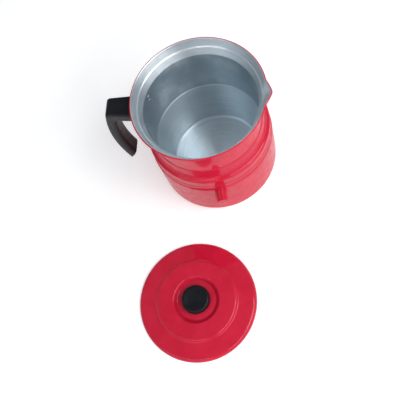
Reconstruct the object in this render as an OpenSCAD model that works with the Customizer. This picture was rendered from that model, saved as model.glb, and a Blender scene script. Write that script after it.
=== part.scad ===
// Double-walled milk pot with a loose lid, in millimetres.
// The pot stands on z = 0 with its axis on Z, its pouring lip towards +X and its handle towards -X.
// The lid lies beside it on the same surface, the right way up.

/* [Vessel] */
// Height of the pot at its rim
pot_h = 127.3; // [116:0.1:160]
// Outer diameter of the rim
rim_d = 124; // [116:0.5:150]
// Inner diameter of the neck
neck_d = 106.2; // [80:0.1:110]
// How much narrower the vessel is in its lower part than at the neck
swage = 1.2; // [0.4:0.1:3]
// Height at which the vessel starts to widen to the neck
swage_z = 59.5; // [40:0.5:80]
// How much narrower the vessel is at its floor than at that height
taper = 10; // [0:0.5:16]
// Wall of the vessel
vessel_wall = 1.2; // [0.8:0.1:2]
// Height of the vessel's floor above the surface that the pot stands on
floor_h = 4.5; // [3.5:0.5:12]
// Fillet inside the vessel, between floor and wall
floor_fillet = 3; // [1:0.5:8]
// Height of the flared mouth, from the neck to the rim
flare_h = 15; // [12:0.5:20]
// Depth below the rim of the ledge inside the flare
ledge_drop = 7.2; // [5:0.1:10]
// Distance from the rim's outer edge to the ledge
ledge_in = 4.8; // [4:0.1:8]
// Radius of the rolled bead along the rim
bead_r = 1; // [0.7:0.1:1.5]

/* [Pouring lip] */
// How far the lip stands out beyond the rim
lip_out = 4.2; // [2:0.1:8]
// Width of the lip along the rim
lip_w = 25; // [14:0.5:36]
// Radius of the lip's tip, inside
lip_tip_r = 1.8; // [1:0.1:4]

/* [Jacket] */
// Outer diameter of the jacket
body_d = 122; // [116:0.5:150]
// Wall of the jacket
jacket_wall = 1.2; // [0.8:0.1:2]
// Height of the jacket's open edge, where the seam is
seam_h = 62; // [50:0.5:70]
// Fillet round the jacket's foot
foot_fillet = 7; // [3:0.5:12]
// How much smaller in radius the jacket is at the seam than below it
shoulder_step = 0.8; // [0.4:0.1:2]
// Radius of the jacket's shoulder below the seam
shoulder_r = 6; // [4:0.5:12]

/* [Collar] */
// Wall of the collar
collar_wall = 1; // [0.8:0.1:1.6]
// Height of the collar's ridge above the seam
ridge_rise = 8.2; // [6:0.1:14]
// Radius of the ridge
ridge_r = 2.6; // [1.5:0.1:4]
// Radius of the hollow between ridge and neck
cove_r = 4.5; // [3:0.1:8]
// Length of the collar's tapered end on the neck
taper_h = 11; // [6:0.5:14]
// Depth of the collar's skirt inside the jacket
skirt_h = 7; // [4:0.5:12]
// Thickness of the sealing compound in the seam
seal_t = 0.4; // [0.2:0.1:1]
// Height of the sealing compound
seal_h = 4; // [2:0.5:8]

/* [Filler] */
// Direction of the filler, round the pot from the lip
filler_angle = -79; // [-150:1:-30]
// Height of the filler's axis
filler_z = 51; // [30:0.5:52]
// Thread diameter of the filler neck
thread_d = 8; // [6:0.5:10]
// Bore of the filler neck
filler_bore_d = 5; // [3:0.5:6]
// How far the filler neck stands out of the jacket
thread_out = 9.2; // [6:0.1:14]
// Diameter of the cap and of the nut
cap_d = 11.8; // [11:0.1:16]
// Wall at the closed end of the cap
cap_end = 1.8; // [1:0.1:3]
// Thickness of the sealing disc in the cap
disc_t = 0.9; // [0.5:0.1:2]
// Thickness of the nut, on its axis
nut_t = 1.9; // [1.4:0.1:4]
// Number of grip rings on the cap
cap_rings = 4; // [2:1:6]
// Thickness of the neck's flange and of its gasket
flange_t = 1; // [0.8:0.1:1.4]

/* [Handle] */
// Gap between the jacket and the grip, for the fingers
finger_gap = 24.4; // [15:0.1:30]
// Thickness of the grip
grip_t = 9.8; // [8:0.1:14]
// Width of the grip
grip_w = 19; // [15:0.5:26]
// Radius along which the grip is bowed
grip_bow_r = 166; // [120:1:250]
// Depth below the arm's top at which the grip stands out furthest
grip_mid_drop = 51.5; // [30:0.5:60]
// Width of the arm where it meets the pot
arm_w = 22; // [16:0.5:28]
// Thickness of the arm
arm_t = 12.5; // [11:0.1:16]
// Depth of the arm's top below the rim
arm_drop = 8.8; // [8.4:0.1:14]
// Length of the grip, from the arm's top down to its lower end
grip_l = 92.9; // [60:0.1:105]
// Thickness of the bracket's saddle
saddle_t = 1.5; // [1:0.1:2.5]
// Width of the saddle round the neck
saddle_w = 42; // [34:0.5:50]
// Height of the saddle
saddle_h = 12.5; // [9:0.5:14]
// Width and thickness of the bracket's tongue
tongue = [12, 6]; // [5:0.5:14]
// Length of the tongue inside the arm
tongue_l = 13; // [8:0.5:18]
// Diameter of the rivets
rivet_d = 4; // [3:0.1:5]
// Angle between each rivet and the middle of the handle
rivet_angle = 17; // [14:0.5:20]
// Thread diameter of the grip's screw
grip_screw_d = 4; // [3:0.5:4]

/* [Lid] */
// How much smaller in radius the lid is than the rim
lid_inset = 3; // [2.5:0.1:4]
// Sheet thickness of the lid
lid_wall = 1; // [0.6:0.1:1.5]
// Height of the lid's raised ring
lid_h = 9; // [8:0.1:14]
// Depth of the well under the knob
well_drop = 3.4; // [2:0.1:4]
// Diameter of the flat floor of the well
well_d = 37.5; // [34:0.5:50]
// Diameter of the raised ring, to the start of its outer slope
ring_d = 76; // [68:0.5:84]
// Fold radius of the lid's steps
fold_r = 2.4; // [1.2:0.1:2.5]
// Radius of the lid's rounded edge
edge_r = 4.2; // [3:0.1:5]
// Height of the upright lip below the rounded edge
edge_lip = 0.4; // [0.1:0.1:2]
// Gap between the pot and the lid lying beside it
lid_gap = 38; // [10:1:80]
// Direction of the lid from the pot, round from the lip
lid_angle = -96; // [-180:1:180]

/* [Knob] */
// Diameter of the knob
knob_d = 28.4; // [24:0.1:36]
// Height of the knob above the well
knob_h = 8.6; // [8:0.1:20]
// Diameter of the knob's foot
knob_foot_d = 18; // [14:0.5:22]
// Diameter of the dished top
dish_d = 21.6; // [14:0.1:24]
// Depth of the dish
dish_drop = 1.2; // [0.5:0.1:2]
// Thread diameter of the knob's screw
knob_screw_d = 4; // [3:0.5:5]
// Length of the insert moulded into the knob
insert_l = 5.2; // [4:0.1:6]

/* [Clearances] */
// Between a screw and a plain hole round it, on the radius
hole_clear = 0.15; // [0.05:0.05:0.4]
// Between the cap's thread and the neck's, on the radius
thread_clear = 0.06; // [0.02:0.01:0.1]
// Between the tongue and its socket, all round
socket_clear = 0.1; // [0.05:0.05:0.3]
// Between faces of the cap and the fixed pieces beside it
cap_clear = 0.15; // [0.1:0.05:0.4]

/* [Hidden] */
round_fn = 96;
fine_fn = 720;
eps = 0.01;
red = [0.78, 0.1, 0.2];
bare = [0.68, 0.73, 0.77];
steel = [0.6, 0.62, 0.65];
brass = [0.78, 0.64, 0.3];
black = [0.1, 0.11, 0.13];
rubber = [0.2, 0.2, 0.2];

rim_r = rim_d / 2;
neck_r = neck_d / 2;
neck_out = neck_r + vessel_wall;
low_r = neck_r - swage / 2;
floor_r = low_r - taper / 2;
wall_lean = atan((low_r - floor_r) / (swage_z - floor_h));
flare_z = pot_h - flare_h;
ledge = [rim_r - ledge_in, pot_h - ledge_drop];
ledge_w = 1;
body_r = body_d / 2;
seam_r = body_r - shoulder_step;
mouth_r = seam_r - jacket_wall;
skirt_r = mouth_r - seal_t;
ridge_c = [seam_r - 0.3 - ridge_r, seam_h + ridge_rise];
ridge_turn = 62;
cove_foot = neck_out + 1.7;
lip_tip = rim_r + lip_out;

// Filler, measured outwards along its axis from the pot's axis
thread_r = thread_d / 2;
cap_r = cap_d / 2;
jacket_in = body_r - jacket_wall;
neck_end = body_r + thread_out;
cap_start = body_r + nut_t + cap_clear;
cap_floor = neck_end + cap_clear + disc_t;
cap_tip = cap_floor + cap_end;
flange_r = thread_r + 1.9;
skirt_low = max(seam_h - skirt_h, filler_z + flange_r + 0.6);
seal_low = max(seam_h - seal_h - 0.4, skirt_low + 0.1);
ring_depth = 0.45;

// Handle, measured outwards from the pot's axis on the side away from the lip
grip_in = body_r + finger_gap;
grip_out = grip_in + grip_t;
arm_top = pot_h - arm_drop;
arm_low = arm_top - arm_t;
grip_low = arm_top - grip_l;
bow_c = [grip_out - grip_bow_r, arm_top - grip_mid_drop];
bow_in = grip_bow_r - grip_t;
arm_start = rim_r - 2;
arm_corner = 4.5;
tongue_z = arm_top - arm_t / 2 - 0.7;
tongue_end = arm_start + tongue_l;
screw_seat = max(tongue_end + 3, reach(grip_bow_r, tongue_z) - 8);
saddle_z = flare_z - 0.8 - saddle_h / 2;
rivet_z = saddle_z - 1;
rivet_head_r = 3.4;
rivet_head_h = 1.3;
grip_screw_r = grip_screw_d / 2;
washer_t = 0.9;
head_h = 2.4;
head_over = 1.7;

// Lid, measured from the surface it lies on
lid_r = rim_r - lid_inset;
well_z = lid_h - well_drop;
well_r = well_d / 2;
ring_r = ring_d / 2;
flange_in = lid_h - 2.2;
flange_out = edge_r + edge_lip;
lid_at = (body_r + lid_r + lid_gap) * [cos(lid_angle), sin(lid_angle)];
knob_r = knob_d / 2;
knob_screw_r = knob_screw_d / 2;
insert_r = knob_screw_r + 1.5;
knob_top = well_z + knob_h;

// Points along an arc of radius r round c, from angle a to angle b
function arc(c, r, a, b, n = 6) =
    [for (i = [0:n]) c + r * [cos(a + (b - a) * i / n), sin(a + (b - a) * i / n)]];
function to_left(p, q) = [p[1] - q[1], q[0] - p[0]] / norm(q - p);
// Shift of point i of a path that moves both its neighbouring edges one unit to their left
function corner_shift(p, i) =
    let (before = to_left(p[max(i - 1, 0)], p[max(i, 1)]))
    let (after = to_left(p[min(i, len(p) - 2)], p[min(i + 1, len(p) - 1)]))
    (before + after) / (1 + before * after);
function shifted(p, t) = [for (i = [0:len(p) - 1]) p[i] + t * corner_shift(p, i)];
function reversed(p) = [for (i = [len(p) - 1:-1:0]) p[i]];

module spin(outline) rotate_extrude($fn = round_fn) polygon(outline);
// A sheet of thickness t whose face follows the path, the sheet being on the path's left
module sheet(path, t) spin(concat(path, reversed(shifted(path, t))));
module rod(r, from, to) translate([0, 0, from]) cylinder(r = r, h = to - from, $fn = 64);
module on_filler() rotate([0, 0, filler_angle]) translate([0, 0, filler_z]) rotate([0, 90, 0]) children();
module on_handle() rotate([0, 0, 180]) children();
module on_lid() translate([lid_at[0], lid_at[1], 0]) children();
// Stands an outline drawn in distance and height upright, with its width across
module upright(width) rotate([90, 0, 0]) linear_extrude(height = width, center = true) children();
module plate(w, h, r) {
    square([w - 2 * r, h], center = true);
    square([w, h - 2 * r], center = true);
    for (x = [-1, 1], y = [-1, 1])
        translate([x * (w / 2 - r), y * (h / 2 - r)]) circle(r = r, $fn = 32);
}

// ---- Vessel ----
cavity = concat([[0, floor_h]],
    arc([floor_r - floor_fillet, floor_h + floor_fillet], floor_fillet, -90, -wall_lean),
    [[low_r, swage_z], [neck_r, swage_z + 1.2], [neck_r, flare_z],
     ledge - [ledge_w, ledge_w], ledge, [rim_r - 2 * bead_r, pot_h - bead_r]]);
skin = shifted(cavity, -vessel_wall);

// Wedge with a rounded tip that the lip is pressed to
module lip_form(grow) {
    hull() {
        translate([lip_tip - vessel_wall - lip_tip_r, 0, pot_h - eps])
            cylinder(r = lip_tip_r + grow, h = grow == 0 ? 1 : eps, $fn = 32);
        for (side = [-1, 1])
            translate([rim_r - 5, side * (lip_w / 2 - 1), pot_h - eps])
                cylinder(r = 1 + grow, h = grow == 0 ? 1 : eps, $fn = 24);
        translate([neck_r + 0.2, 0, flare_z + 3]) sphere(r = 0.2 + grow, $fn = 16);
    }
}

module inner_vessel() color(bare) {
    difference() {
        union() {
            spin(concat(skin, [[0, pot_h - bead_r]]));
            rotate_extrude($fn = round_fn) translate([rim_r - bead_r, pot_h - bead_r])
                circle(r = bead_r, $fn = 32);
            lip_form(vessel_wall);
        }
        spin(concat(cavity, [[rim_r - 2 * bead_r, pot_h + 2], [0, pot_h + 2]]));
        lip_form(0);
        rivet_holes();
    }
}

// ---- Jacket and collar ----
shoulder_turn = acos((seam_r - (body_r - shoulder_r)) / shoulder_r);
shoulder_z = seam_h - 5 - shoulder_r * sin(shoulder_turn);
jacket_path = concat([[0, 0]], arc([body_r - foot_fillet, foot_fillet], foot_fillet, -90, 0, 8),
    arc([body_r - shoulder_r, shoulder_z], shoulder_r, 0, shoulder_turn, 4), [[seam_r, seam_h]]);
module outer_jacket() color(red) {
    difference() {
        sheet(jacket_path, jacket_wall);
        on_filler() rod(thread_r + hole_clear, body_r - 5, body_r + 5);
    }
}

cove_start = ridge_c + ridge_r * [cos(ridge_turn), sin(ridge_turn)];
cove_run = (cove_start[0] + cove_r * cos(ridge_turn) - cove_r - cove_foot) / sin(ridge_turn);
cove_c = cove_start + cove_r * [cos(ridge_turn), sin(ridge_turn)]
    + cove_run * [-sin(ridge_turn), cos(ridge_turn)];
module shoulder_collar() color(red) {
    outside = concat([[skirt_r, skirt_low], [skirt_r, seam_h + 0.3],
        [seam_r - 0.6, seam_h + 1]], arc(ridge_c, ridge_r, 0, ridge_turn),
        arc(cove_c, cove_r, 180 + ridge_turn, 180));
    spin(concat(outside, [[neck_out + 0.2, cove_c[1] + taper_h], [neck_out, cove_c[1] + taper_h],
        [neck_out, cove_c[1] + 1]], reversed(shifted(outside, collar_wall))));
}

module seam_seal() color(rubber)
    spin([[skirt_r, seal_low], [mouth_r, seal_low],
        [mouth_r, seam_h - 0.4], [skirt_r, seam_h - 0.4]]);

// ---- Filler ----
module filler_neck() color(brass) on_filler() difference() {
    union() {
        rod(flange_r, jacket_in - 2 * flange_t, jacket_in - flange_t);
        rod(thread_r, jacket_in - 2 * flange_t, neck_end);
    }
    rod(filler_bore_d / 2, jacket_in - 2 * flange_t - 1, neck_end + 1);
}

module neck_gasket() color(rubber) intersection() {
    on_filler() difference() {
        rod(flange_r, jacket_in - flange_t, jacket_in + 1);
        rod(thread_r, jacket_in - flange_t - 1, jacket_in + 2);
    }
    rotate_extrude($fn = fine_fn) polygon(concat(shifted(jacket_path, jacket_wall), [[0, seam_h]]));
}

module neck_nut() color(red) difference() {
    on_filler() difference() {
        rod(cap_r, body_r - 1, body_r + nut_t);
        rod(thread_r, body_r - 2, body_r + nut_t + 1);
    }
    cylinder(r = body_r, h = seam_h, $fn = fine_fn);
}

module filler_cap() color(red) on_filler() {
    pitch = (cap_tip - cap_start - 2) / cap_rings;
    rings = [for (i = [0:cap_rings - 1], step = [0:2])
        [cap_r - (step == 1 ? ring_depth : 0), cap_start + 1 + i * pitch + step * 0.6]];
    difference() {
        spin(concat([[0, cap_start], [cap_r - 0.4, cap_start], [cap_r, cap_start + 0.4]], rings,
            [[cap_r, cap_tip - 0.6], [cap_r - 0.6, cap_tip], [0, cap_tip]]));
        rod(thread_r + thread_clear, cap_start - 1, cap_floor);
    }
}

module cap_washer() color(rubber) on_filler()
    rod(thread_r - thread_clear, cap_floor - disc_t, cap_floor);

// ---- Handle ----
module rivet_places() for (side = [-1, 1])
    rotate([0, 0, 180 + side * rivet_angle]) translate([0, 0, rivet_z]) rotate([0, 90, 0]) children();
module rivet_holes() rivet_places() rod(rivet_d / 2, neck_r - 2, neck_out + 3);

// Low dome whose flat base is at the distance given, rounded outwards or, with way -1, inwards
module rivet_head(at, way) {
    dome_r = (rivet_head_r * rivet_head_r + rivet_head_h * rivet_head_h) / (2 * rivet_head_h);
    intersection() {
        translate([0, 0, at + way * (rivet_head_h - dome_r)]) sphere(r = dome_r, $fn = 48);
        rod(rivet_head_r, min(at, at + 2 * way), max(at, at + 2 * way));
    }
}

module bracket_rivets() color(bare) {
    rivet_places() rod(rivet_d / 2, neck_r - 0.3, neck_out + saddle_t + 0.3);
    intersection() {
        rivet_places() rivet_head(neck_r, -1);
        cylinder(r = neck_r, h = pot_h, $fn = round_fn);
    }
    difference() {
        rivet_places() {
            rivet_head(neck_out + saddle_t, 1);
            rod(rivet_head_r, neck_out, neck_out + saddle_t);
        }
        cylinder(r = neck_out + saddle_t, h = pot_h, $fn = round_fn);
    }
}

module handle_bracket() color(red) difference() {
    union() {
        intersection() {
            cylinder(r = neck_out + saddle_t, h = pot_h, $fn = round_fn);
            on_handle() translate([0, 0, saddle_z]) rotate([90, 0, 90])
                linear_extrude(height = neck_out + 5) plate(saddle_w, saddle_h, 3);
        }
        on_handle() translate([neck_out, -tongue[0] / 2, tongue_z - tongue[1] / 2])
            cube([tongue_end - neck_out, tongue[0], tongue[1]]);
    }
    cylinder(r = neck_out, h = pot_h, $fn = round_fn);
    spin(concat(shifted(skin, -0.4), [[0, pot_h]]));
    rivet_holes();
    on_handle() translate([0, 0, tongue_z]) rotate([0, 90, 0])
        rod(grip_screw_r, tongue_end - 10, tongue_end + 1);
}

// Angle at which the grip's outer bow reaches a height
function bow(z) = asin((z - bow_c[1]) / grip_bow_r);
// Distance from the pot's axis of a bow of radius r at a height
function reach(r, z) = bow_c[0] + sqrt(r * r - pow(z - bow_c[1], 2));

module grip_arm() {
    fillet = 3;
    buried = 3.5;
    end_w = grip_w / 2 + 0.05;
    side = [for (way = [-1, 1])
        [[arm_start, way * arm_w / 2], [reach(bow_in, arm_low) - 3, way * end_w],
            [grip_out, way * end_w]]];
    intersection() {
        upright(arm_w + 2) polygon(concat([[arm_start, arm_low]],
            arc([reach(bow_in, arm_low - fillet) + 0.5 - fillet, arm_low - fillet], fillet, 90, 0),
            arc(bow_c, grip_bow_r - buried, bow(arm_low - fillet), bow(arm_top + 2), 4),
            [[arm_start, arm_top + 2]]));
        translate([0, 0, arm_low - 5]) linear_extrude(height = arm_t + 10)
            polygon(concat(side[0], reversed(side[1])));
    }
}

module grip_blade() {
    low = -bow(grip_low - 3);
    high = bow(arm_top + 3);
    inner_round = 4.7;
    outer_round = 2.5;
    side = grip_w / 2;
    section = concat(arc([grip_t - outer_round, side - outer_round], outer_round, 0, 90),
        arc([inner_round, side - inner_round], inner_round, 90, 180),
        arc([inner_round, inner_round - side], inner_round, 180, 270),
        arc([grip_t - outer_round, outer_round - side], outer_round, 270, 360));
    translate([bow_c[0], 0, bow_c[1]]) rotate([90, 0, 0]) rotate([0, 0, -low])
        rotate_extrude(angle = low + high, $fn = round_fn)
            translate([bow_in, 0]) polygon(section);
}

// Everything outside the grip's top and its lower end, seen from the side
module grip_trim() {
    turn = asin((arm_top - arm_corner - bow_c[1]) / (grip_bow_r - arm_corner));
    corner = bow_c + (grip_bow_r - arm_corner) * [cos(turn), sin(turn)];
    tip = [reach(grip_bow_r, grip_low) - 0.3, grip_low];
    bevel = [reach(bow_in, grip_low) + 0.9, grip_low + 8.5];
    beyond = 10;
    upright(arm_w + 4) {
        polygon(concat([[arm_start - 1, arm_top - 0.8]], arc(corner, arm_corner, 90, turn),
            [[grip_out + beyond, corner[1]], [grip_out + beyond, arm_top + beyond],
                [arm_start - 1, arm_top + beyond]]));
        polygon([bevel - [beyond, 20], tip + [beyond, -20], tip + [beyond, beyond],
            tip, bevel, bevel + [-beyond, 5.5]]);
    }
}

module handle_grip() color(black) on_handle() difference() {
    union() {
        grip_arm();
        grip_blade();
    }
    grip_trim();
    translate([arm_start - 1, -tongue[0] / 2 - socket_clear, tongue_z - tongue[1] / 2 - socket_clear])
        cube([tongue_l + 1 + socket_clear, tongue[0] + 2 * socket_clear, tongue[1] + 2 * socket_clear]);
    translate([0, 0, tongue_z]) rotate([0, 90, 0]) {
        rod(grip_screw_r + hole_clear, arm_start, grip_out);
        rod(grip_screw_r + head_over + 0.5, screw_seat, grip_out + 5);
    }
}

module grip_screw() color(steel) on_handle() translate([0, 0, tongue_z]) rotate([0, 90, 0]) difference() {
    union() {
        rod(grip_screw_r, tongue_end - 9, screw_seat + washer_t);
        rod(grip_screw_r + head_over, screw_seat + washer_t, screw_seat + washer_t + head_h);
    }
    translate([-0.5, -5, screw_seat + washer_t + head_h - 1.2]) cube([1, 10, 2]);
}

module grip_washer() color(steel) on_handle() translate([0, 0, tongue_z]) rotate([0, 90, 0]) difference() {
    rod(grip_screw_r + head_over, screw_seat, screw_seat + washer_t);
    rod(grip_screw_r, screw_seat - 1, screw_seat + washer_t + 1);
}

// ---- Lid ----
module lid_shell() color(red) on_lid() {
    rise = 45;
    fall = 45;
    drop = atan((flange_in - flange_out) / (lid_r - edge_r - ring_r - 3));
    step_w = (well_drop - 2 * fold_r * (1 - cos(rise))) / tan(rise) + 2 * fold_r * sin(rise);
    ring_c = [ring_r, lid_h - fold_r];
    fall_end = ring_c + fold_r * [cos(90 - fall), sin(90 - fall)];
    fall_l = (fall_end[1] - flange_in - fold_r * (cos(drop) - cos(fall))) / sin(fall);
    foot_c = fall_end + fall_l * [cos(fall), -sin(fall)] + fold_r * [sin(fall), cos(fall)];
    difference() {
        sheet(concat([[0, well_z]], arc([well_r, well_z + fold_r], fold_r, -90, rise - 90),
            arc([well_r + step_w, lid_h - fold_r], fold_r, 90 + rise, 90),
            arc(ring_c, fold_r, 90, 90 - fall),
            arc(foot_c, fold_r, 270 - fall, 270 - drop),
            arc([lid_r - edge_r, edge_lip], edge_r, 90 - drop, 0, 8), [[lid_r, 0]]), -lid_wall);
        rod(knob_screw_r + hole_clear, well_z - 3, well_z + 3);
    }
}

module lid_knob() color(black) on_lid() {
    waist = well_z + 1.4;
    bulge_r = 2.2;
    dish_r = (dish_d * dish_d / 4 + dish_drop * dish_drop) / (2 * dish_drop);
    difference() {
        spin(concat([[0, well_z], [knob_foot_d / 2, well_z], [knob_foot_d / 2, waist]],
            arc([knob_r - bulge_r, knob_top - 1 - 2 * bulge_r + 0.6], bulge_r, -55, 0, 4),
            arc([knob_r - bulge_r - 0.4, knob_top - bulge_r], bulge_r, 20, 90),
            [[dish_d / 2, knob_top], [0, knob_top]]));
        translate([0, 0, knob_top - dish_drop + dish_r]) sphere(r = dish_r, $fn = round_fn);
        rod(insert_r, well_z - 1, well_z + insert_l);
    }
}

module knob_insert() color(brass) on_lid() difference() {
    rod(insert_r, well_z, well_z + insert_l);
    rod(knob_screw_r, well_z - 1, well_z + insert_l + 1);
}

module knob_screw() color(steel) on_lid() difference() {
    seat = well_z - lid_wall - washer_t;
    union() {
        rod(knob_screw_r, seat, well_z + insert_l - 0.4);
        rod(knob_screw_r + head_over, seat - head_h, seat);
    }
    translate([-5, -0.5, seat - head_h - 1]) cube([10, 1, 2.2]);
}

module knob_washer() color(steel) on_lid() difference() {
    rod(knob_screw_r + 2.6, well_z - lid_wall - washer_t, well_z - lid_wall);
    rod(knob_screw_r, well_z - lid_wall - washer_t - 1, well_z);
}

inner_vessel();
outer_jacket();
shoulder_collar();
seam_seal();
filler_neck();
neck_gasket();
neck_nut();
filler_cap();
cap_washer();
handle_bracket();
bracket_rivets();
handle_grip();
grip_screw();
grip_washer();
lid_shell();
lid_knob();
knob_insert();
knob_screw();
knob_washer();
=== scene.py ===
"""Looks of the double-walled milk pot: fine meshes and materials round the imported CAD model."""
import math

import bmesh
import bpy
import numpy as np
from mathutils import Matrix, Vector


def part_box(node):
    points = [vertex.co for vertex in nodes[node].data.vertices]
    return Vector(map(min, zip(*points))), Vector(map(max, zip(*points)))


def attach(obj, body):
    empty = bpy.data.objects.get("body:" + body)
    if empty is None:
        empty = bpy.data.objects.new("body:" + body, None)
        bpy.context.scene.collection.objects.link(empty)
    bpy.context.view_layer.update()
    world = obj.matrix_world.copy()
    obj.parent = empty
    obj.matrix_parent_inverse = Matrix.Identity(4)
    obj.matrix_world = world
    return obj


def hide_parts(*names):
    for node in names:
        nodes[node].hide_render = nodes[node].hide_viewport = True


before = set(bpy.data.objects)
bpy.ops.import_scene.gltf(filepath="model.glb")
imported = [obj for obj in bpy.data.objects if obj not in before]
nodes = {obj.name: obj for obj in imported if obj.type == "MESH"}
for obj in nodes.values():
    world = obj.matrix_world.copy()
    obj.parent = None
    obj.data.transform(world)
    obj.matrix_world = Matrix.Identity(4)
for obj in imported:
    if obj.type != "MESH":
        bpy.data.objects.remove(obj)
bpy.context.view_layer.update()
MM = 0.001
R = math.radians

# ---- Sizes, in millimetres, as in the CAD source ----
POT_H, RIM_R, NECK_R, WALL, BEAD_R = 127.3, 62.0, 53.1, 1.2, 1.0
FLARE_Z, LEDGE = 112.3, (57.2, 120.1)
LOW_R, FLOOR_R, FLOOR_H, FLOOR_FILLET = 52.5, 47.5, 4.5, 3.0
SWAGE_Z, SWAGE_H = 59.5, 1.2
LIP_OUT, LIP_W, LIP_LOW = 4.2, 25.0, 114.6
BODY_R, FOOT_R, SHOULDER_R = 61.0, 7, 6
SEAM_H, SEAM_R, JACKET_WALL = 62.0, 60.2, 1.2
SKIRT_R, COLLAR_R, COLLAR_WALL = 58.6, SEAM_R - 0.3, 1.0
NECK_OUT = NECK_R + WALL
FILLER_ANGLE, FILLER_Z = R(-79), 51.0
NUT_BORE, NUT_R, NUT_FROM, NUT_TO = 4.0, 5.9, 60.0, 62.9
CAP_BORE, CAP_R, CAP_FROM, CAP_TO, CAP_BOTTOM = 4.06, 5.9, 63.05, 73.05, 71.25
LID_AT = (np.array(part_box("lid_shell")[0]) + np.array(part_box("lid_shell")[1])) / 2 / MM
LID_R, LID_H, WELL_Z, WELL_R, RING_R, LID_WALL = 59.0, 9.0, 5.6, 18.75, 38.0, 1.0
ARM_TOP, ARM_LOW, ARM_IN, GRIP_HALF, GRIP_LOW = 118.5, 106.0, 60.2, 9.5, 25.6
TONGUE_Z, TONGUE_END, SCREW_SEAT = 111.55, 73.0, -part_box("grip_washer")[1][0] / MM

# ---- Choices of the visual model ----
PAINT = 0.14  # thickness of the lacquer
BARE = PAINT * 0.6  # how far the bare sheet's face stays behind the lacquer's
PAINT_END = 76  # the neck's lacquer ends here, behind the collar
CREASE = 34  # degrees: sharper edges of moulded and small parts aren't smoothed
TURNS = 256  # steps round the large turned pieces
STEP, LIP_STEP = 3, 1.6  # longest steps along an outline, plain and where the lip is pressed
UV_PER_MM = 0.01


# ---- Outlines ----
def polar(r, a):
    """The vector of length r at a degrees."""
    return r * np.array((math.cos(R(a)), math.sin(R(a))))


def arc(c, r, a, b, n=8):
    """Points on an arc of radius r round c, from angle a to angle b in degrees."""
    t = np.radians(np.linspace(a, b, n + 1))
    return [(c[0] + r * math.cos(x), c[1] + r * math.sin(x)) for x in t]


def rounded(points, n=6):
    """The open outline through (x, y, radius) corners, each corner rounded to its radius."""
    out, last = [], len(points) - 1
    for i, (x, y, rad) in enumerate(points):
        p = np.array((x, y), float)
        if rad <= 0 or i in (0, last):
            out.append((x, y))
            continue
        a, b = np.array(points[i - 1][:2]) - p, np.array(points[i + 1][:2]) - p
        la, lb = np.linalg.norm(a), np.linalg.norm(b)
        a, b = a / la, b / lb
        half = math.acos(max(-1, min(1, float(a @ b)))) / 2
        if half > math.pi / 2 - 0.01:
            out.append((x, y))
            continue
        t = min(rad / math.tan(half), 0.49 * la, 0.49 * lb)
        r = t * math.tan(half)
        mid = (a + b) / np.linalg.norm(a + b)
        c = p + mid * r / math.sin(half)
        u, v = p + a * t - c, p + b * t - c
        turn = math.acos(max(-1, min(1, float(u @ v) / (r * r))))
        for k in range(n + 1):
            f = k / n
            w = (math.sin((1 - f) * turn) * u + math.sin(f * turn) * v) / math.sin(turn)
            out.append(tuple(c + w))
    return out


def clean(path):
    """The path without points that repeat the one before."""
    out = [path[0]]
    for p in path[1:]:
        if math.dist(p, out[-1]) > 1e-3:
            out.append(p)
    return out


def offset(path, d):
    """The open path moved by d to its left."""
    p = np.array(clean(path), float)
    out = []
    for i in range(len(p)):
        a, b = p[max(i - 1, 0)], p[max(i, 1)]
        c, e = p[min(i, len(p) - 2)], p[min(i + 1, len(p) - 1)]
        n1 = np.array((a[1] - b[1], b[0] - a[0])) / np.linalg.norm(b - a)
        n2 = np.array((c[1] - e[1], e[0] - c[0])) / np.linalg.norm(e - c)
        out.append(tuple(p[i] + d * (n1 + n2) / (1 + n1 @ n2)))
    return out


def fine(path, step=STEP):
    """The path with long straight stretches cut into steps."""
    path = clean(path)
    out = [path[0]]
    for p in path[1:]:
        q = np.array(out[-1], float)
        n = max(1, int(math.ceil(np.linalg.norm(np.array(p) - q) / step)))
        out += [tuple(q + (np.array(p) - q) * k / n) for k in range(1, n + 1)]
    return out


# ---- Meshes ----
def make(name, verts, faces, material, sharp, uvs=None):
    """A smooth-shaded object from vertices in millimetres, its faces turned outwards.

    Edges sharper than sharp, in degrees, stay sharp.
    """
    me = bpy.data.meshes.new(name)
    me.from_pydata((np.array(verts, float) * MM).tolist(), [], faces)
    if uvs is not None:
        layer = me.uv_layers.new(name="turn")
        layer.data.foreach_set("uv", np.array(uvs, np.float32).ravel())
    bm = bmesh.new()
    bm.from_mesh(me)
    bmesh.ops.recalc_face_normals(bm, faces=bm.faces)
    bm.to_mesh(me)
    bm.free()
    me.shade_smooth()
    me.set_sharp_from_angle(angle=R(sharp))
    me.materials.append(material)
    o = bpy.data.objects.new(name, me)
    bpy.context.scene.collection.objects.link(o)
    return o


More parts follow.
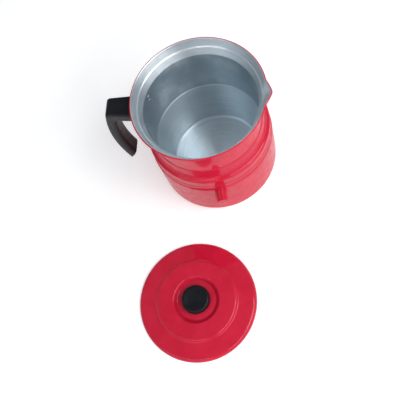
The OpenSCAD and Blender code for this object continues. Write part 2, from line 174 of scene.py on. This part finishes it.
def lathe(name, path, material, angles=TURNS, sharp=40, warp=None):
    """A solid turned from an outline of (radius, height).

    The outline is closed, or starts and ends on the axis. angles is a number of steps or the
    angles themselves, and warp changes the array of vertices.
    """
    if isinstance(angles, int):
        angles = np.linspace(0, 2 * math.pi, angles, endpoint=False)
    path = clean(path)
    n, solid = len(angles), path[0][0] < 1e-6
    verts, rings = [], []
    for r, z in path:
        if r < 1e-6:
            rings.append([len(verts)] * n)
            verts.append((0, 0, z))
        else:
            rings.append(list(range(len(verts), len(verts) + n)))
            verts += [(r * math.cos(a), r * math.sin(a), z) for a in angles]
    steps = np.linalg.norm(np.diff(np.array(path), axis=0), axis=1)
    length = np.concatenate([[0], np.cumsum(steps)])
    faces, uvs = [], []
    for i in range(len(path) - (1 if solid else 0)):
        k = (i + 1) % len(path)
        for j in range(n):
            m = (j + 1) % n
            kept = []
            for c in ((rings[i][j], j, i), (rings[i][m], j + 1, i),
                      (rings[k][m], j + 1, k), (rings[k][j], j, k)):
                if c[0] not in [x[0] for x in kept]:
                    kept.append(c)
            faces.append([c[0] for c in kept])
            uvs += [(c[1] / n, length[c[2]] * UV_PER_MM) for c in kept]
    verts = np.array(verts, float)
    if warp:
        verts = warp(verts)
    return make(name, verts, faces, material, sharp, uvs)


def place(o, body, node=None, at=(0, 0, 0), rotation=None):
    """Puts a piece made round the origin in its place, on its CAD body, for its CAD node."""
    m = Matrix.Translation(Vector(at) * MM)
    o.matrix_world = m @ rotation if rotation else m
    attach(o, body)
    if node:
        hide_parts(node)
    return o


def cut(o, *cutters):
    """Cuts the cutters out of o and removes them."""
    for c in cutters:
        mod = o.modifiers.new("cut", "BOOLEAN")
        mod.object, mod.operation, mod.solver = c, "DIFFERENCE", "EXACT"
    deps = bpy.context.evaluated_depsgraph_get()
    me = bpy.data.meshes.new_from_object(o.evaluated_get(deps))
    o.modifiers.clear()
    o.data = me
    me.shade_smooth()
    me.set_sharp_from_angle(angle=R(CREASE))
    for c in cutters:
        bpy.data.objects.remove(c)


# ---- Materials ----
class Mat:
    """A Principled material with short ways to add procedural detail. Lengths are in metres."""

    def __init__(self, name, color, rough, **sockets):
        self.m = bpy.data.materials.new(name)
        self.m.use_nodes = True
        self.t = self.m.node_tree
        self.b = self.t.nodes["Principled BSDF"]
        self.b.inputs["Base Color"].default_value = (*color, 1)
        self.b.inputs["Roughness"].default_value = rough
        for k, v in sockets.items():
            self.b.inputs[k.replace("_", " ")].default_value = v
        self.coord = self.t.nodes.new("ShaderNodeTexCoord").outputs["Object"]

    def node(self, kind, inputs=(), **props):
        """A new node with its inputs linked or set, and its properties set."""
        n = self.t.nodes.new("ShaderNode" + kind)
        for k, v in props.items():
            setattr(n, k, v)
        for k, v in dict(inputs).items():
            if isinstance(v, bpy.types.NodeSocket):
                self.t.links.new(v, n.inputs[k])
            else:
                n.inputs[k].default_value = v
        return n

    def math(self, op, a, b):
        return self.node("Math", {0: a, 1: b}, operation=op).outputs[0]

    def vector(self, op, a, b=(0, 0, 0)):
        return self.node("VectorMath", {0: a, 1: b}, operation=op).outputs

    def noise(self, scale, detail=3.0, rough=0.5, vector=None):
        n = self.node("TexNoise", {"Vector": vector or self.coord, "Scale": scale,
                                   "Detail": detail, "Roughness": rough})
        return n.outputs["Fac"]

    def span(self, value, low, high, to_low, to_high):
        """The value carried smoothly from low..high to to_low..to_high."""
        n = self.node("MapRange", {"Value": value, "From Min": low, "From Max": high,
                                   "To Min": to_low, "To Max": to_high},
                      interpolation_type="SMOOTHSTEP")
        return n.outputs["Result"]

    def mix(self, fac, a, b):
        """Colour a where fac is 0, colour b where it is 1."""
        n = self.node("Mix", data_type="RGBA")
        for k, v in ((0, fac), (6, a), (7, b)):
            if isinstance(v, bpy.types.NodeSocket):
                self.t.links.new(v, n.inputs[k])
            else:
                n.inputs[k].default_value = v if k == 0 else (*v, 1)
        return n.outputs[2]

    def drive(self, socket, value):
        self.t.links.new(value, self.b.inputs[socket])

    def bump(self, height, distance, strength=1.0, socket="Normal"):
        n = self.node("Bump", {"Height": height, "Distance": distance, "Strength": strength})
        self.drive(socket, n.outputs["Normal"])


def turned(mat, sideways):
    """Noise coordinates that run round the axis like turning marks, and the height.

    They follow radius plus height. The direction adds a vector of length sideways, in metres.
    """
    xyz = mat.node("SeparateXYZ", {0: mat.coord}).outputs
    flat = mat.node("CombineXYZ", {"X": xyz[0], "Y": xyz[1]}).outputs[0]
    radius = mat.vector("LENGTH", flat)["Value"]
    around = mat.vector("MULTIPLY", mat.vector("NORMALIZE", flat)[0], (sideways,) * 3)[0]
    depth = mat.node("CombineXYZ", {"Z": mat.math("ADD", radius, xyz[2])}).outputs[0]
    return mat.vector("ADD", around, depth)[0], xyz[2]


def aluminium():
    """Bare sheet with turning marks: dark upper wall, paler below the swage and on the flare."""
    m = Mat("bare_aluminium", (0.66, 0.72, 0.76), 0.3,
            Metallic=1.0, Anisotropic=0.75, Anisotropic_Rotation=0.25)
    marks, z = turned(m, 0.004)
    lines = m.noise(1900, 3, 0.6, marks)
    bands = m.noise(330, 2, 0.5, marks)
    cloud = m.noise(38, 3, 0.55)
    lower = m.span(z, SWAGE_Z * MM, (SWAGE_Z + 2.5) * MM, 1.0, 0.0)
    upper = m.span(z, (FLARE_Z - 0.8) * MM, (FLARE_Z + 0.7) * MM, 0.0, 1.0)
    wall = m.mix(lower, (0.42, 0.51, 0.57), (0.72, 0.80, 0.85))
    whole = m.mix(upper, wall, (0.76, 0.82, 0.87))
    shade = m.mix(m.span(bands, 0.35, 0.65, 0.0, 0.22), whole, (0.5, 0.56, 0.6))
    m.drive("Base Color", m.mix(m.span(cloud, 0.42, 0.7, 0.0, 0.25), shade, (0.86, 0.9, 0.92)))
    m.drive("Roughness", m.math("ADD", m.span(lines, 0.3, 0.7, 0.34, 0.46),
                                m.span(cloud, 0.4, 0.7, 0.0, 0.1)))
    m.bump(m.math("ADD", m.math("MULTIPLY", lines, 0.25), bands), 0.00006, 0.5)
    m.drive("Tangent", m.node("Tangent", direction_type="UV_MAP", uv_map="turn").outputs[0])
    return m.m


def lacquer():
    """Red stoving lacquer: a dull body under a thin clear coat, with orange peel and specks."""
    m = Mat("red_lacquer", (0.56, 0.014, 0.045), 0.42, Specular_IOR_Level=0.05,
            Coat_Weight=0.38, Coat_Roughness=0.045, Coat_IOR=1.6)
    cloud = m.noise(45, 4, 0.6)
    speck = m.noise(1500, 2, 0.5)
    tint = m.mix(m.span(cloud, 0.35, 0.7, 0.0, 1.0), (0.52, 0.008, 0.033), (0.58, 0.013, 0.043))
    m.drive("Base Color", m.mix(m.span(speck, 0.66, 0.74, 0.0, 0.35), tint, (0.36, 0.006, 0.02)))
    m.drive("Roughness", m.span(m.noise(160, 3), 0.3, 0.7, 0.34, 0.5))
    m.bump(m.noise(520, 2, 0.45), 0.00006, 0.35)
    m.bump(m.noise(210, 2, 0.45), 0.00008, 0.25, "Coat Normal")
    return m.m


def phenolic():
    """Black moulding compound with a fine grain."""
    m = Mat("black_moulding", (0.017, 0.021, 0.024), 0.4, Specular_IOR_Level=0.2)
    cloud = m.span(m.noise(90, 4, 0.6), 0.35, 0.7, 0.0, 1.0)
    m.drive("Base Color", m.mix(cloud, (0.005, 0.006, 0.008), (0.009, 0.011, 0.013)))
    m.drive("Roughness", m.span(m.noise(420, 3), 0.3, 0.7, 0.33, 0.5))
    m.bump(m.noise(2600, 3, 0.6), 0.00004, 0.35)
    return m.m


def metal(name, color, rough):
    """A small metal part's surface, slightly stained."""
    m = Mat(name, color, rough, Metallic=1.0, Anisotropic=0.3)
    m.drive("Roughness", m.span(m.noise(700, 3), 0.3, 0.7, rough - 0.08, rough + 0.1))
    dark = tuple(c * 0.72 for c in color)
    m.drive("Base Color", m.mix(m.span(m.noise(260, 4), 0.45, 0.75, 0.0, 0.8), color, dark))
    m.bump(m.noise(1800, 2), 0.00003, 0.3)
    return m.m


def soft_seal(name, color):
    """Dull rubber or compound."""
    m = Mat(name, color, 0.75)
    light = tuple(c * 1.8 for c in color)
    m.drive("Base Color", m.mix(m.span(m.noise(600, 4), 0.4, 0.75, 0.0, 1.0), color, light))
    m.bump(m.noise(1500, 3), 0.00006, 0.5)
    return m.m


ALU, RED, BLACK = aluminium(), lacquer(), phenolic()
STEEL = metal("plated_steel", (0.62, 0.63, 0.66), 0.3)
BRASS = metal("brass", (0.78, 0.58, 0.26), 0.32)
RIVET = metal("rivet_aluminium", (0.78, 0.81, 0.83), 0.26)
RUBBER = soft_seal("rubber", (0.018, 0.018, 0.019))
PUTTY = soft_seal("sealing_compound", (0.09, 0.09, 0.095))


# ---- Vessel ----
def fold(q, soft):
    """A ridge from 1 at q = 0 to 0 at q = 1, its peak and feet softened."""
    k = np.linspace(-2, 2, 17)
    w = np.exp(-k * k / 2)
    soft = np.asarray(soft)[..., None]
    ridge = np.maximum(0, 1 - np.abs(np.asarray(q)[..., None] + k * soft))
    peak = np.maximum(0, 1 - np.abs(k * soft))
    return (ridge * w).sum(-1) / (peak * w).sum(-1)


def pull_lip(v):
    """Presses the pouring lip out of the turned flare, on the +X side, widening upwards."""
    foot_share, soft_mm, rise_power = 0.34, 1.5, 1.15
    r, a = np.hypot(v[:, 0], v[:, 1]), np.arctan2(v[:, 1], v[:, 0])
    up = np.clip((v[:, 2] - LIP_LOW) / (POT_H - BEAD_R - LIP_LOW), 0, 1)
    half = LIP_W / 2 * (foot_share + (1 - foot_share) * up)
    r = r + LIP_OUT * up**rise_power * fold(a * RIM_R / half, soft_mm / half)
    return np.column_stack([r * np.cos(a), r * np.sin(a), v[:, 2]])


all_round = np.linspace(-math.pi, math.pi, TURNS + 1)[:-1]
at_lip = np.radians(np.linspace(-16, 16, 97))
lip_angles = np.unique(np.round(np.concatenate([all_round, at_lip]), 5))
corners = [(0, FLOOR_H), (FLOOR_R, FLOOR_H), (LOW_R, SWAGE_Z), (NECK_R, SWAGE_Z + SWAGE_H),
           (NECK_R, FLARE_Z), (LEDGE[0] - 1, LEDGE[1] - 1), LEDGE,
           (RIM_R - 2 * BEAD_R, POT_H - BEAD_R)]
radii = [0, FLOOR_FILLET, 0.8, 0.8, 2.2, 0.5, 0.45, 0]
BEAD = (RIM_R - BEAD_R, POT_H - BEAD_R)


def outer(d, low=None):
    """The vessel's outside at distance d from its inside, from the rim down.

    It ends short of the bead, and goes on to the axis or only to the height low on the neck.
    """
    p = [np.array(q) for q in offset(corners, -d)]
    p[-1] = 0.15 * p[-2] + 0.85 * p[-1]
    grown = [r + d if r == FLOOR_FILLET else r for r in radii]
    path = rounded([(*q, r) for q, r in zip(p, grown)], 9)[::-1]
    return path if low is None else [q for q in path if q[1] > low] + [(NECK_R + d, low)]


inside = rounded([(*q, r) for q, r in zip(corners, radii)], 7)
bead = arc(BEAD, BEAD_R, 168, 100, 7) + arc(BEAD, BEAD_R - BARE, 92, 0, 8)
under_bead = [(RIM_R - 0.1, POT_H - 1.1), (RIM_R - 0.7, POT_H - 1.8)]
body_path = inside[:-1] + bead[:-1] + under_bead + outer(WALL - BARE)
vessel = lathe("vessel", fine(body_path, LIP_STEP), ALU, lip_angles, 50, pull_lip)
place(vessel, "pot", "inner_vessel")

shell_out, shell_in = (arc(BEAD, BEAD_R - t, 96, -60, 14) + outer(WALL - t, PAINT_END)
                       for t in (0, PAINT))
shell_path = fine(shell_out + shell_in[::-1], LIP_STEP)
vessel_paint = lathe("vessel_lacquer", shell_path, RED, lip_angles, 60, pull_lip)
place(vessel_paint, "pot")

# ---- Jacket ----
edge = 0.35
turn = math.degrees(math.acos((SEAM_R - (BODY_R - SHOULDER_R)) / SHOULDER_R))
shoulder_z = SEAM_H - 5 - SHOULDER_R * math.sin(R(turn))
wall_out = [(0, 0), *arc((BODY_R - FOOT_R, FOOT_R), FOOT_R, -90, 0, 14),
            *arc((BODY_R - SHOULDER_R, shoulder_z), SHOULDER_R, 0, turn, 6),
            (SEAM_R, SEAM_H - edge)]
wall_in = offset(wall_out, JACKET_WALL)
wall_in[0] = (0.0, JACKET_WALL)
lip_top = [(SEAM_R - edge, SEAM_H), (SEAM_R - JACKET_WALL + 0.2, SEAM_H)]
jacket = lathe("jacket", fine(wall_out + lip_top + wall_in[::-1]), RED)
place(jacket, "pot", "outer_jacket")

# ---- Collar: a skirt, a ridge, a cove, and a taper round the neck ----
ridge_r, ridge_turn, cove_r, cove_foot = 2.6, 62.0, 4.5, NECK_OUT + 1.7
ridge_c = (COLLAR_R - ridge_r, SEAM_H + 8.2)
cs, sn = polar(1, ridge_turn)
start = np.array(ridge_c) + ridge_r * np.array((cs, sn))
run = (start[0] + cove_r * cs - cove_r - cove_foot) / sn
cove_c = start + cove_r * np.array((cs, sn)) + run * np.array((-sn, cs))
face = rounded([(SKIRT_R, SEAM_H - 7, 0), (SKIRT_R, SEAM_H + 0.06, 0.1),
                (SEAM_R - 0.25, SEAM_H + 0.1, 0.3), (COLLAR_R, SEAM_H + 3, 0)], 4)
face += arc(ridge_c, ridge_r, 0, ridge_turn, 12) + arc(cove_c, cove_r, 180 + ridge_turn, 180, 12)
neck_end = cove_c[1] + 11
top = [(NECK_OUT + 0.25, neck_end - 0.2), (NECK_OUT + 0.1, neck_end), (NECK_OUT, neck_end)]
collar_path = face + top + [(NECK_OUT, cove_c[1] + 1)] + offset(face, COLLAR_WALL)[::-1]
collar = lathe("collar", fine(collar_path), RED)
place(collar, "pot", "shoulder_collar")

# ---- Filler ----
filler_turns = 96
along = Matrix.Rotation(FILLER_ANGLE, 4, "Z") @ Matrix.Rotation(math.pi / 2, 4, "Y")
nut_path = rounded([(NUT_BORE, NUT_FROM, 0), (NUT_R, NUT_FROM, 0), (NUT_R, NUT_TO, 0.35),
                    (NUT_BORE, NUT_TO, 0)], 5)
nut = lathe("filler_nut", nut_path, RED, filler_turns)
place(nut, "pot", "neck_nut", (0, 0, FILLER_Z), along)

ribs, groove = 4, 0.45
pitch = (CAP_TO - CAP_FROM - 2) / ribs
rib_path = []
for i in range(ribs):
    z = CAP_FROM + 1 + i * pitch
    rib_path += [(CAP_R, z, 0.25), (CAP_R - groove, z + 0.6, 0.35), (CAP_R, z + 1.2, 0.25)]
cap_out = rounded([(CAP_BORE, CAP_FROM, 0), (CAP_R, CAP_FROM, 0.4), *rib_path,
                   (CAP_R, CAP_TO, 0.7), (0, CAP_TO, 0)], 5)
cap = lathe("filler_cap", [(0, CAP_BOTTOM), (CAP_BORE, CAP_BOTTOM)] + cap_out, RED, filler_turns)
place(cap, "cap", "filler_cap", (0, 0, FILLER_Z), along)

# ---- Lid: from the screw's hole over well, plateau and flange to the turned-down edge ----
lid_spot = (LID_AT[0], LID_AT[1], 0)
rise, fall, fold_r = 45.0, 45.0, 2.4
edge_r, edge_lip = 4.2, 0.4
flange_in, flange_out = LID_H - 2.2, edge_r + edge_lip
drop = math.degrees(math.atan((flange_in - flange_out) / (LID_R - edge_r - RING_R - 3)))
well_deep = LID_H - WELL_Z
step_w = ((well_deep - 2 * fold_r * (1 - math.cos(R(rise)))) / math.tan(R(rise))
          + 2 * fold_r * math.sin(R(rise)))
ring_c = np.array((RING_R, LID_H - fold_r))
fall_end = ring_c + polar(fold_r, 90 - fall)
fall_h = fall_end[1] - flange_in - fold_r * (math.cos(R(drop)) - math.cos(R(fall)))
foot_c = fall_end + polar(fall_h / math.sin(R(fall)), -fall) + polar(fold_r, 90 - fall)
lid_top = [(2.15, WELL_Z)] + arc((WELL_R, WELL_Z + fold_r), fold_r, -90, rise - 90, 8)
lid_top += arc((WELL_R + step_w, LID_H - fold_r), fold_r, 90 + rise, 90, 8)
lid_top += arc(ring_c, fold_r, 90, 90 - fall, 8) + arc(foot_c, fold_r, 270 - fall, 270 - drop, 8)
lid_top += arc((LID_R - edge_r, edge_lip), edge_r, 90 - drop, 0, 14) + [(LID_R, 0.02)]
lid_body_path = fine(offset(lid_top, -BARE) + offset(lid_top, -LID_WALL)[::-1])
lid_body = lathe("lid_sheet", lid_body_path, ALU, sharp=50)
place(lid_body, "lid", "lid_shell", lid_spot)
lid_paint = lathe("lid_lacquer", fine(lid_top + offset(lid_top, -PAINT)[::-1]), RED, sharp=50)
place(lid_paint, "lid", None, lid_spot)

# ---- Knob: foot, waist, head and dished top ----
top_z, knob_r, dish_r, dish_deep = WELL_Z + 8.6, 14.2, 10.8, 1.2
ball = (dish_r**2 + dish_deep**2) / (2 * dish_deep)
side = [(0, WELL_Z + 5.2), (3.5, WELL_Z + 5.2), (3.5, WELL_Z)]
side += rounded([(8.6, WELL_Z, 0), (9, WELL_Z, 0.2), (9, WELL_Z + 1.4, 0.6),
                 (10.6, WELL_Z + 2.0, 0.6)], 4)
side += arc((knob_r - 2.2, top_z - 1 - 4.4 + 0.6), 2.2, -55, 0, 8)
side += arc((knob_r - 2.6, top_z - 2.2), 2.2, 20, 90, 10)
side += rounded([(dish_r + 0.5, top_z, 0), (dish_r, top_z, 0.5),
                 (dish_r - 0.9, top_z - 0.19, 0)], 5)
bowl = math.degrees(math.asin(dish_r / ball))
side += [(max(0.0, ball * math.sin(R(a))), top_z - dish_deep + ball - ball * math.cos(R(a)))
         for a in np.linspace(bowl * 0.88, 0, 14)]
knob = lathe("lid_knob", side, BLACK, 160, 50)
place(knob, "lid", "lid_knob", lid_spot)


# ---- Handle ----
# Points on it are (u, z), u being the distance from the pot's axis towards the handle.
def box_section(a, b, half, ra, rb, n=6):
    """A rounded box across the handle: from a on its outer side to b on its inner side.

    half is half its width, ra and rb are the radii of its edges on the two sides.
    """
    a, b = np.array(a, float), np.array(b, float)
    span = np.linalg.norm(b - a)
    d = (b - a) / span
    ra, rb = min(ra, span * 0.48, half * 0.95), min(rb, span * 0.48, half * 0.95)
    pts = []
    for cx, cy, r, t0 in ((span - rb, half - rb, rb, 0), (ra, half - ra, ra, 90),
                          (ra, ra - half, ra, 180), (span - rb, rb - half, rb, 270)):
        pts += arc((cx, cy), r, t0, t0 + 90, n)
    return [(*(a + d * s), y) for s, y in pts]


def loft(name, sections, material):
    """A closed solid through sections of equally many (u, z, y) points."""
    n = len(sections[0])
    verts = [(-u, y, z) for s in sections for u, z, y in s]
    faces = [[i * n + j, i * n + (j + 1) % n, (i + 1) * n + (j + 1) % n, (i + 1) * n + j]
             for i in range(len(sections) - 1) for j in range(n)]
    faces += [list(range(n)), [len(verts) - 1 - j for j in range(n)]]
    return make(name, verts, faces, material, CREASE)


bow_r, bow_c, grip_t = 166.0, np.array((-70.8, 67.0)), 9.8
inner_r = bow_r - grip_t
corner_r, fillet_r = 4.5, 3.0
edge_out, edge_in, edge_blade = 2.6, 1.6, 4.7


def bow(z, r):
    """The angle at which the bow of radius r is at height z."""
    return math.degrees(math.asin((z - bow_c[1]) / r))


def reach(r, z):
    """How far from the pot's axis the bow of radius r is at height z."""
    return bow_c[0] + math.sqrt(r * r - (z - bow_c[1]) ** 2)


def on_bow(r, a):
    return bow_c + polar(r, a)


turn_top = bow(ARM_TOP - corner_r, bow_r - corner_r)
corner = on_bow(bow_r - corner_r, turn_top)
fillet_z = ARM_LOW - fillet_r
fillet = np.array((reach(inner_r, fillet_z) - 2.7, fillet_z))
pairs = []
for f in np.linspace(0, 1, 9):  # the arm, from the pot outwards
    u = ARM_IN + (corner[0] - ARM_IN) * f
    low = ARM_IN + (fillet[0] + 0.2 - ARM_IN) * f
    pairs.append(((u, ARM_TOP - 0.8 + 0.8 * f), (low, ARM_LOW),
                  GRIP_HALF + 1.5 - 1.5 * f, edge_out, edge_in))
for f in np.linspace(0, 1, 13)[1:]:  # the corner
    back = corner + polar(corner_r, 90 - (90 - turn_top) * f)
    front = fillet + polar(fillet_r, 90 - 84 * f)
    pairs.append((back, front, GRIP_HALF, edge_out, edge_in + 3.0 * f))
top_in = bow(fillet_z - 0.4, inner_r)
low_out, low_in = bow(GRIP_LOW + 2.5, bow_r), bow(GRIP_LOW + 9.4, inner_r)
for f in np.linspace(0, 1, 25)[1:]:  # the bowed blade
    a, b = turn_top + (low_out - turn_top) * f, top_in + (low_in - top_in) * f
    pairs.append((on_bow(bow_r, a), on_bow(inner_r, b), GRIP_HALF, edge_out, edge_blade))
tip_out, bevel_top = on_bow(bow_r, low_out), on_bow(inner_r, low_in)
tip_low = np.array((reach(bow_r, GRIP_LOW) - 0.3, GRIP_LOW + 0.02))
for f in np.linspace(0, 1, 9)[1:]:  # the bevelled tip
    back = tip_out + (tip_low + np.array((0.25, 0.02)) - tip_out) * f**1.4
    front = bevel_top + (tip_low + np.array((-2.6, 2.5)) - bevel_top) * f
    pairs.append((back, front, GRIP_HALF - 1.1 * f**3,
                  edge_out - 1.2 * f, edge_blade - 3.0 * f))
grip = loft("handle_grip", [box_section(*p) for p in pairs], BLACK)


def bar(name, r, u0, u1):
    """A round cutter along the handle's arm."""
    o = lathe(name, [(0, u0), (r, u0), (r, u1), (0, u1)], BLACK, 64)
    lift = Matrix.Translation((0, 0, TONGUE_Z * MM))
    o.matrix_world = lift @ Matrix.Rotation(-math.pi / 2, 4, "Y")
    return o


sock_h, sock_w = 3.1, 6.1
sock_ends = ((-sock_h, -sock_w), (-sock_h, sock_w), (sock_h, sock_w), (sock_h, -sock_w))
sock = loft("socket", [[(u, TONGUE_Z + dz, y) for dz, y in sock_ends]
                       for u in (50.0, TONGUE_END + 0.1)], BLACK)
bpy.context.view_layer.update()
cut(grip, sock, bar("screw_way", 2.15, 60, 92), bar("recess", 4.2, SCREW_SEAT, 95))
place(grip, "pot", "handle_grip")

# ---- Small pieces keep their CAD meshes ----
for name, material in (("seam_seal", PUTTY), ("filler_neck", BRASS), ("neck_gasket", RUBBER),
                       ("cap_washer", RUBBER), ("handle_bracket", RED),
                       ("bracket_rivets", RIVET), ("grip_screw", STEEL), ("grip_washer", STEEL),
                       ("knob_insert", BRASS), ("knob_screw", STEEL), ("knob_washer", STEEL)):
    o = nodes[name]
    o.data.materials.clear()
    o.data.materials.append(material)
    o.data.shade_smooth()
    o.data.set_sharp_from_angle(angle=R(CREASE))

# ---- Floor, surroundings and light, in metres ----
floor_mat = Mat("pale_floor", (0.93, 0.94, 0.95), 0.65, Specular_IOR_Level=0.0,
                Emission_Color=(1, 1, 1, 1), Emission_Strength=0.34)
floor_tint = floor_mat.mix(floor_mat.noise(9, 3), (0.86, 0.87, 0.88), (0.88, 0.885, 0.89))
floor_mat.drive("Base Color", floor_tint)
bpy.ops.mesh.primitive_plane_add(size=12, location=(0, 0, -0.0002))
floor = bpy.context.object
floor.name = "floor"
floor.data.materials.append(floor_mat.m)

scene = bpy.context.scene
scene.view_settings.view_transform = "Standard"
scene.view_settings.look = "None"
world = bpy.data.worlds.new("studio")
scene.world = world
world.use_nodes = True
wt = world.node_tree
sky = wt.nodes["Background"]
way_up = wt.nodes.new("ShaderNodeTexCoord").outputs["Generated"]
height = wt.nodes.new("ShaderNodeSeparateXYZ")
wt.links.new(way_up, height.inputs[0])
ramp = wt.nodes.new("ShaderNodeMapRange")
ramp.interpolation_type = "SMOOTHSTEP"
wt.links.new(height.outputs["Z"], ramp.inputs["Value"])
for k, v in (("From Min", 0.3), ("From Max", 0.95), ("To Min", 0.42), ("To Max", 0.36)):
    ramp.inputs[k].default_value = v
wt.links.new(ramp.outputs["Result"], sky.inputs["Strength"])
sky.inputs["Color"].default_value = (0.93, 0.97, 1.0, 1)


def softbox(name, azimuth, elevation, distance, size, power, color):
    """A rectangular lamp that faces the pot from a direction in degrees."""
    target = Vector((0, -0.06, 0.06))
    light = bpy.data.lights.new(name, "AREA")
    light.shape, light.size, light.size_y = "RECTANGLE", size[0], size[1]
    light.energy, light.color = power, color
    o = bpy.data.objects.new(name, light)
    a, e = R(azimuth), R(elevation)
    way = Vector((math.cos(a) * math.cos(e), math.sin(a) * math.cos(e), math.sin(e)))
    o.location = target + way * distance
    o.rotation_euler = way.to_track_quat("Z", "Y").to_euler()
    scene.collection.objects.link(o)


softbox("key", -27, 40, 1.3, (1.4, 0.3), 10, (1.0, 0.99, 0.98))
softbox("front", -112, 34, 1.4, (1.3, 0.16), 4.5, (0.97, 0.99, 1.0))
softbox("top", -5, 57, 1.5, (0.7, 0.4), 6, (0.96, 0.98, 1.0))

# ---- Camera: looks steeply down, turned by swing and rolled round its own axis ----
CAMERA_AT, LENS, SENSOR = (0.0962, -0.2578, 0.5548), 51.318, 36
elev, roll, swing = R(66.8), R(-28.4), R(29.0)
level = math.cos(elev)
fwd = Vector((-level * math.sin(swing), level * math.cos(swing), -math.sin(elev)))
right = Vector((math.cos(swing), math.sin(swing), 0))
up = right.cross(fwd)
across = math.cos(roll) * right + math.sin(roll) * up
upward = -math.sin(roll) * right + math.cos(roll) * up
cam = bpy.data.cameras.new("camera")
cam.lens, cam.sensor_width, cam.sensor_height = LENS, SENSOR, SENSOR
cam.clip_start, cam.clip_end = 0.01, 50
cam_o = bpy.data.objects.new("camera", cam)
turned_to = Matrix((across, upward, -fwd)).transposed()
cam_o.matrix_world = Matrix.Translation(CAMERA_AT) @ turned_to.to_4x4()
scene.collection.objects.link(cam_o)
scene.camera = cam_o
